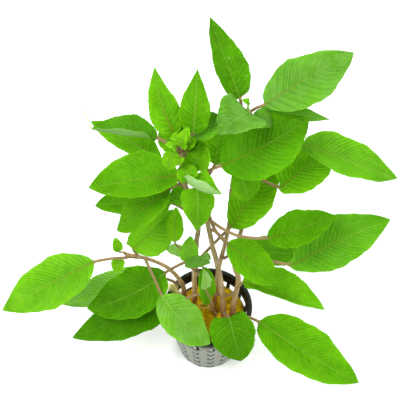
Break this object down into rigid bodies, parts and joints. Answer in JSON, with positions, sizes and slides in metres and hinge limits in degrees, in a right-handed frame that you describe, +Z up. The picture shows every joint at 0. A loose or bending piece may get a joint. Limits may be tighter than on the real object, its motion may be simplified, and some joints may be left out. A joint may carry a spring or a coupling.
{
  "type": "hygrophila plant in a net pot",
  "caption": "Leafy hygrophila aquarium plant on upright stems, rooted in a rock wool plug that stands in a round net pot.",
  "frame": {"origin": "centre of the net pot's underside, on the surface that the pot stands on", "axes": "+Z up along the pot's axis; -Y toward the side that the picture shows; +X to its right"},
  "size_m": [0.217, 0.1095, 0.2302],
  "materials": {
    "pot_plastic": "black moulded plastic with a soft sheen, thin enough at the edges to look dark olive",
    "wool": "matted mineral fibre, golden ochre on top and grey on the sides",
    "stem_skin": "smooth young stem, pinkish tan below and olive brown above",
    "leaf_green": "waxy vivid green leaf, paler underneath, with light veins"
  },
  "bodies": {
    "root": {"net_pot": "pot_plastic", "rock_wool": "wool", "stem_main": "stem_skin", "stem_right": "stem_skin", "stem_back": "stem_skin", "stem_left": "stem_skin", "stem_side": "stem_skin", "shoot_low": "stem_skin", "leaf_01": "leaf_green", "leaf_02": "leaf_green", "leaf_03": "leaf_green", "leaf_04": "leaf_green", "leaf_05": "leaf_green", "leaf_06": "leaf_green", "leaf_07": "leaf_green", "leaf_08": "leaf_green", "leaf_09": "leaf_green", "leaf_10": "leaf_green", "leaf_11": "leaf_green", "leaf_12": "leaf_green", "leaf_13": "leaf_green", "leaf_14": "leaf_green", "leaf_15": "leaf_green", "leaf_16": "leaf_green", "leaf_17": "leaf_green", "leaf_18": "leaf_green", "leaf_19": "leaf_green", "leaf_20": "leaf_green", "leaf_21": "leaf_green", "leaf_22": "leaf_green", "leaf_23": "leaf_green", "leaf_24": "leaf_green", "leaf_25": "leaf_green", "leaf_26": "leaf_green", "leaf_27": "leaf_green", "leaf_28": "leaf_green", "leaf_29": "leaf_green", "leaf_30": "leaf_green", "leaf_31": "leaf_green", "leaf_32": "leaf_green", "leaf_33": "leaf_green", "leaf_34": "leaf_green", "leaf_35": "leaf_green", "leaf_36": "leaf_green", "leaf_37": "leaf_green", "leaf_38": "leaf_green", "leaf_39": "leaf_green", "leaf_40": "leaf_green", "leaf_41": "leaf_green", "leaf_42": "leaf_green", "leaf_43": "leaf_green", "leaf_44": "leaf_green", "leaf_45": "leaf_green", "leaf_46": "leaf_green", "leaf_47": "leaf_green", "leaf_48": "leaf_green", "leaf_49": "leaf_green", "leaf_50": "leaf_green"}
  },
  "joints": []
}
